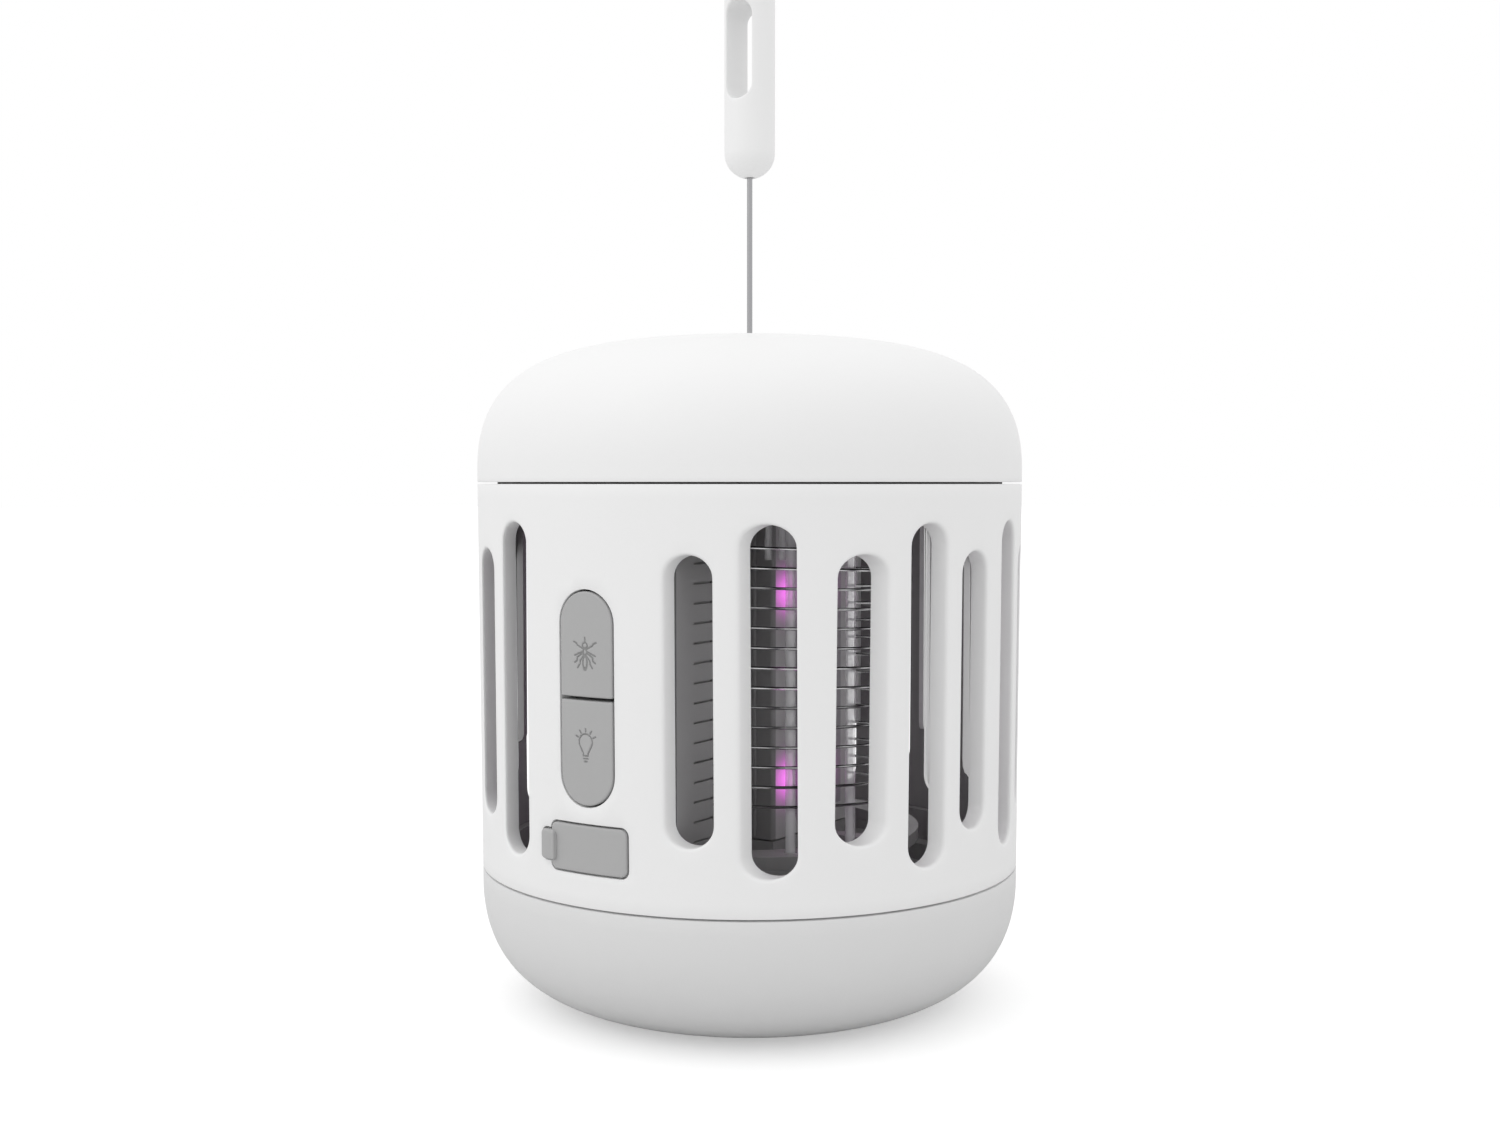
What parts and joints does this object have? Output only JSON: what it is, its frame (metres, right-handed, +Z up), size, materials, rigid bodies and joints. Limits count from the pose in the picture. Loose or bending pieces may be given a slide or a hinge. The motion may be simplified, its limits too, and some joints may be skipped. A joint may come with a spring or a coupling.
{
  "type": "electric bug zapper",
  "caption": "Portable electric bug zapper and camping lamp: domed slotted body, high-voltage coils, twist-off lamp bowl and a swivelling hanger with an eye.",
  "frame": {"origin": "centre of the bowl's flat foot, on the surface that the object stands on", "axes": "+Z up along the body's axis to the hanger, -Y out of the control panel with the buttons, +X to the panel's right when facing it from outside"},
  "size_m": [0.09, 0.09, 0.171],
  "materials": {
    "shell": "satin white moulded plastic",
    "frosted": "frosted translucent white plastic",
    "silicone": "matt grey silicone",
    "dark_plastic": "dark grey moulded plastic",
    "chrome": "bright plated wire",
    "clear_rod": "clear polished acrylic",
    "steel": "drawn steel",
    "brass": "plated contact brass",
    "circuit_board": "green solder mask",
    "white_board": "white solder mask",
    "component": "black moulded component",
    "cell_wrap": "shrink sleeve",
    "uv_lamp": "lit ultraviolet chip",
    "lamp_chip": "unlit phosphor chip"
  },
  "bodies": {
    "root": {"casing": "shell", "dome_cover": "shell", "battery_deck": "dark_plastic", "battery_cell": "cell_wrap", "battery_contact_left": "steel", "battery_contact_right": "steel", "high_voltage_board": "circuit_board", "step_up_transformer": "component", "storage_capacitor": "component", "dome_screw_1": "steel", "dome_screw_2": "steel", "dome_screw_3": "steel", "control_housing": "dark_plastic", "main_board": "circuit_board", "zap_switch": "component", "lamp_switch": "component", "charging_socket": "steel", "contact_pin_left": "brass", "contact_pin_right": "brass", "grid_ring": "dark_plastic", "grid_frame": "dark_plastic", "live_coil": "chrome", "earth_coil": "chrome", "coil_rod_1": "clear_rod", "coil_rod_2": "clear_rod", "coil_rod_3": "clear_rod", "coil_rod_4": "clear_rod", "coil_rod_5": "clear_rod", "coil_rod_6": "clear_rod", "coil_rod_7": "clear_rod", "coil_rod_8": "clear_rod", "led_column": "dark_plastic", "uv_board_left": "white_board", "uv_board_right": "white_board", "uv_board_rear": "white_board", "uv_led_left_lower": "uv_lamp", "uv_led_left_upper": "uv_lamp", "uv_led_right_lower": "uv_lamp", "uv_led_right_upper": "uv_lamp", "uv_led_rear_lower": "uv_lamp", "uv_led_rear_upper": "uv_lamp", "column_screw": "steel", "hanger_bush": "steel"},
    "zap_button": {"zap_button": "silicone"},
    "lamp_button": {"lamp_button": "silicone"},
    "port_cover": {"port_cover": "silicone"},
    "base": {"diffuser_bowl": "frosted", "insect_tray": "dark_plastic", "lamp_board": "white_board", "lamp_led_1": "lamp_chip", "lamp_led_2": "lamp_chip", "lamp_led_3": "lamp_chip", "lamp_led_4": "lamp_chip", "contact_pad_left": "brass", "contact_pad_right": "brass"},
    "hanger": {"hanger_wire": "steel", "hanger_crimp": "brass", "hanger_eye": "shell"}
  },
  "joints": [
    {"name": "base_twist", "type": "hinge", "parent": "root", "child": "base", "pos_m": [0, 0, 0.0222], "axis": [0, 0, 1], "range_deg": [0, 20]},
    {"name": "hanger_swivel", "type": "hinge", "parent": "root", "child": "hanger", "pos_m": [0, 0, 0.1089], "axis": [0, 0, 1], "continuous": true},
    {"name": "zap_button_press", "type": "slide", "parent": "root", "child": "zap_button", "axis": [0, 1, 0], "range_m": [0, 0.0008], "stiffness_N_per_m": 1500},
    {"name": "lamp_button_press", "type": "slide", "parent": "root", "child": "lamp_button", "axis": [0, 1, 0], "range_m": [0, 0.0008], "stiffness_N_per_m": 1500},
    {"name": "port_cover_hinge", "type": "hinge", "parent": "root", "child": "port_cover", "pos_m": [0.0069, -0.04429, 0.0311], "axis": [0, 0, 1], "range_deg": [0, 95]}
  ]
}
